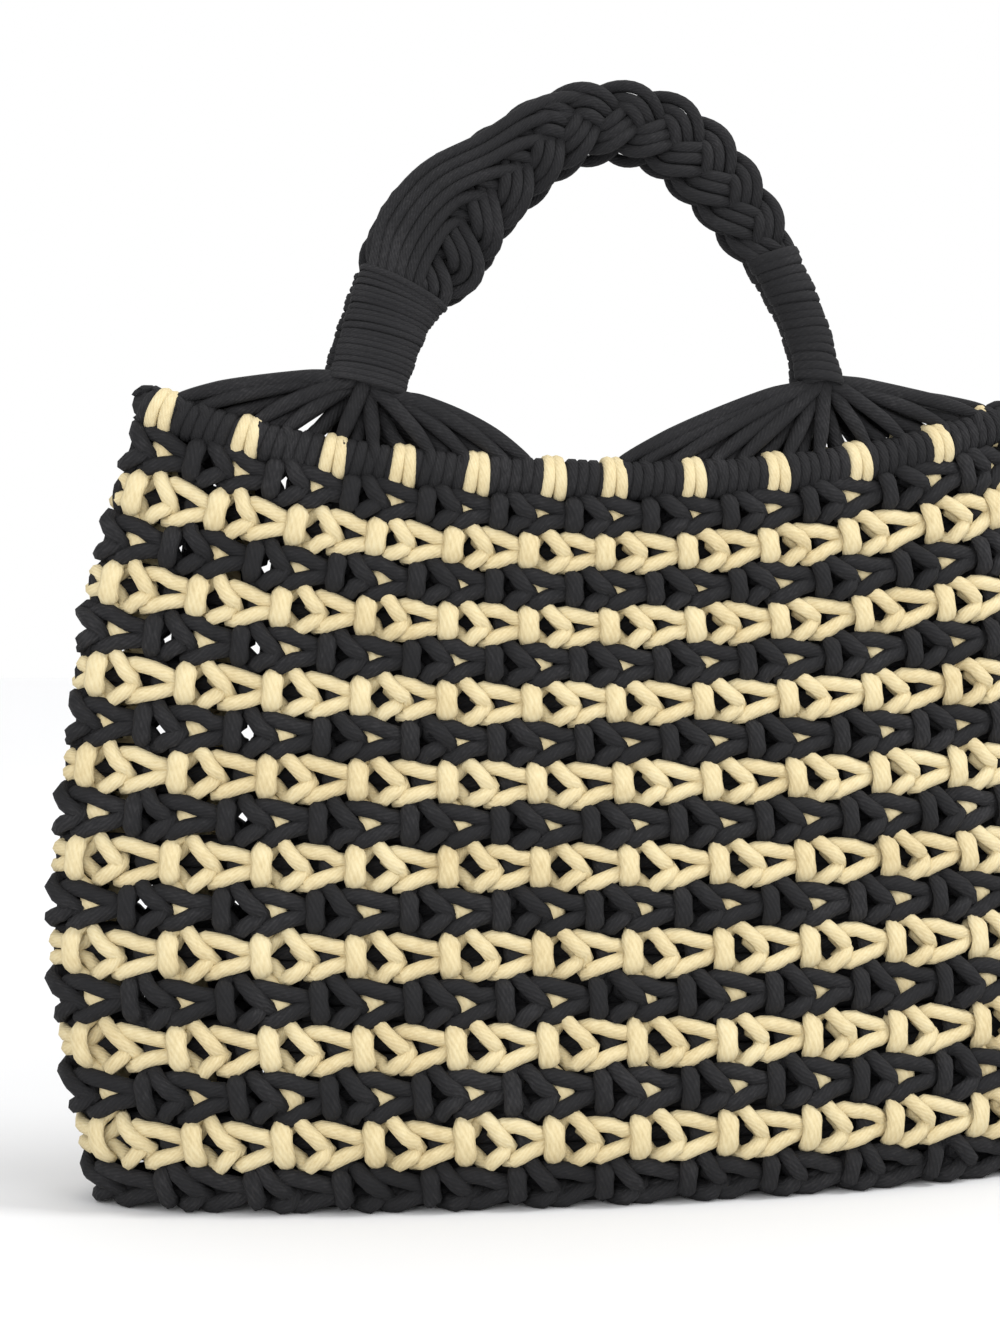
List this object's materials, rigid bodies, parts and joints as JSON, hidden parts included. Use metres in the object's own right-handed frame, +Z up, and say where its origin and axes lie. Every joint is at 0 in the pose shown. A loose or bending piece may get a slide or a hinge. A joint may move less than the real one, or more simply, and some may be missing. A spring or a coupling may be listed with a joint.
{
  "type": "market tote",
  "caption": "Tote of thick knotted cotton cord in black and cream rows, with a wrapped rim, a flat base and two braided top handles.",
  "frame": {"origin": "on the floor, under the middle of the base", "axes": "+Z up, front face towards -Y, +X to the right seen from the front"},
  "size_m": [0.3838, 0.104, 0.3917],
  "materials": {
    "black_cord": "matt black cotton cord, knitted round, slightly fuzzy",
    "cream_cord": "matt cream cotton cord, knitted round, slightly fuzzy"
  },
  "bodies": {
    "root": {"base_panel": "black_cord", "row_01_black": "black_cord", "row_02_cream": "cream_cord", "row_03_black": "black_cord", "row_04_cream": "cream_cord", "row_05_black": "black_cord", "row_06_cream": "cream_cord", "row_07_black": "black_cord", "row_08_cream": "cream_cord", "row_09_black": "black_cord", "row_10_cream": "cream_cord", "row_11_black": "black_cord", "row_12_cream": "cream_cord", "row_13_black": "black_cord", "row_14_cream": "cream_cord", "row_15_black": "black_cord", "row_16_cream": "cream_cord", "row_17_black": "black_cord", "rim_roll": "black_cord", "front_handle_braid": "black_cord", "front_handle_left_wrap": "black_cord", "front_handle_right_wrap": "black_cord", "front_handle_left_fan": "black_cord", "front_handle_right_fan": "black_cord", "back_handle_braid": "black_cord", "back_handle_left_wrap": "black_cord", "back_handle_right_wrap": "black_cord", "back_handle_left_fan": "black_cord", "back_handle_right_fan": "black_cord"}
  },
  "joints": []
}
